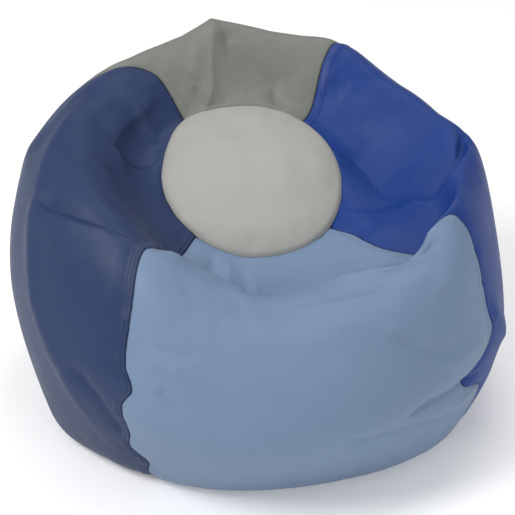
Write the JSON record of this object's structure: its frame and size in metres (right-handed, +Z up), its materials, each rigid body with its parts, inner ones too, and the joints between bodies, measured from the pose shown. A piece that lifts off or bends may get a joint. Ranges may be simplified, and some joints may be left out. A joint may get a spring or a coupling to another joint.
{
  "type": "bean bag seat",
  "caption": "Slumped bean bag seat sewn from coloured vinyl panels round a puffy round cap, with topstitched seams, a dented seat, standing front seams and a zipped flat base.",
  "frame": {"origin": "on the floor under the middle of the bag", "axes": "+Z up, the low front lip of the seat faces -Y, +X to the sitter's left"},
  "size_m": [0.6565, 0.6404, 0.4623],
  "materials": {
    "vinyl_navy": "satin grained vinyl, navy",
    "vinyl_grey": "satin grained vinyl, mid grey",
    "vinyl_royal": "satin grained vinyl, royal blue",
    "vinyl_light_blue": "satin grained vinyl, light blue",
    "vinyl_pale_grey": "satin grained vinyl, pale warm grey",
    "thread_navy": "polyester sewing thread, navy",
    "thread_grey": "polyester sewing thread, grey",
    "thread_royal": "polyester sewing thread, royal blue",
    "thread_light_blue": "polyester sewing thread, light blue",
    "zip_tape": "woven polyester tape, navy",
    "zip_coil": "nylon coil, navy",
    "zip_metal": "painted zinc, grey",
    "label_cloth": "white woven polyester, blank",
    "liner_cloth": "white non-woven cloth",
    "beads": "expanded polystyrene beads, white"
  },
  "bodies": {
    "bag": {"panel_navy": "vinyl_navy", "panel_grey": "vinyl_grey", "panel_royal": "vinyl_royal", "panel_light_blue": "vinyl_light_blue", "top_cap": "vinyl_pale_grey", "base_front": "vinyl_navy", "base_rear": "vinyl_navy", "stitching_navy": "thread_navy", "stitching_grey": "thread_grey", "stitching_royal": "thread_royal", "stitching_light_blue": "thread_light_blue", "zip_tape_front": "zip_tape", "zip_tape_rear": "zip_tape", "zip_coil_front": "zip_coil", "zip_coil_rear": "zip_coil", "zip_top_stop_front": "zip_metal", "zip_top_stop_rear": "zip_metal", "zip_bottom_stop": "zip_metal", "zip_stitching_front": "thread_navy", "zip_stitching_rear": "thread_navy", "care_label": "label_cloth", "liner_bag": "liner_cloth", "bead_fill": "beads"},
    "slider": {"zip_slider": "zip_metal"}
  },
  "joints": [
    {"name": "zip_slide", "type": "slide", "parent": "bag", "child": "slider", "axis": [1, 0, 0], "range_m": [-0.285, 0]}
  ]
}
